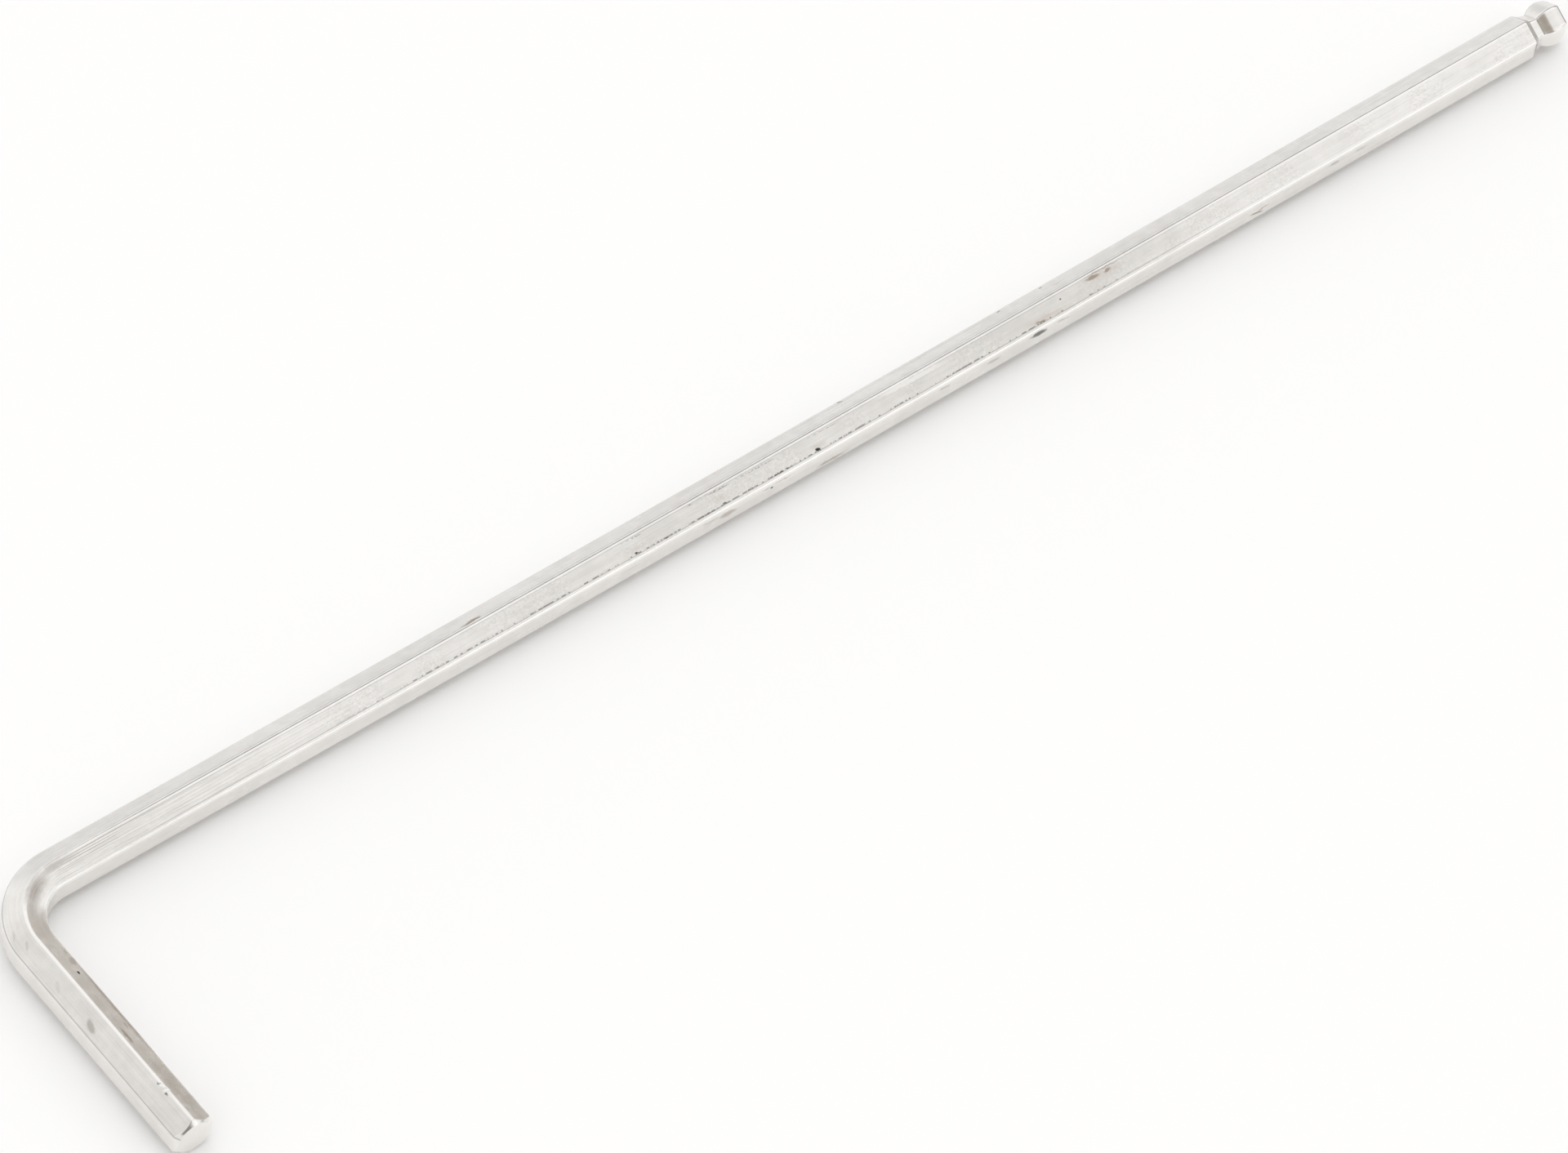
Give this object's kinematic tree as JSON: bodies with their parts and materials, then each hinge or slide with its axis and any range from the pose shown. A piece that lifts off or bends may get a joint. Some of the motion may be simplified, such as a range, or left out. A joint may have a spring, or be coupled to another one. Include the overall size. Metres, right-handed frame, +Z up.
{
  "type": "hex key",
  "caption": "Long-arm hex key for 3 mm socket screws, bent from one hexagon bar, with a ball end on the long arm.",
  "frame": {"origin": "on the surface the key lies on, below the middle of its overall box", "axes": "+X along the long arm to the ball end, -Y along the short arm, +Z up, normal to the plane of the bend"},
  "size_m": [0.1399, 0.0235, 0.0034],
  "materials": {
    "nickel_plate": "satin nickel plate with fine drawn lines, stains and small chips from use"
  },
  "bodies": {
    "root": {"hex_key": "nickel_plate"}
  },
  "joints": []
}
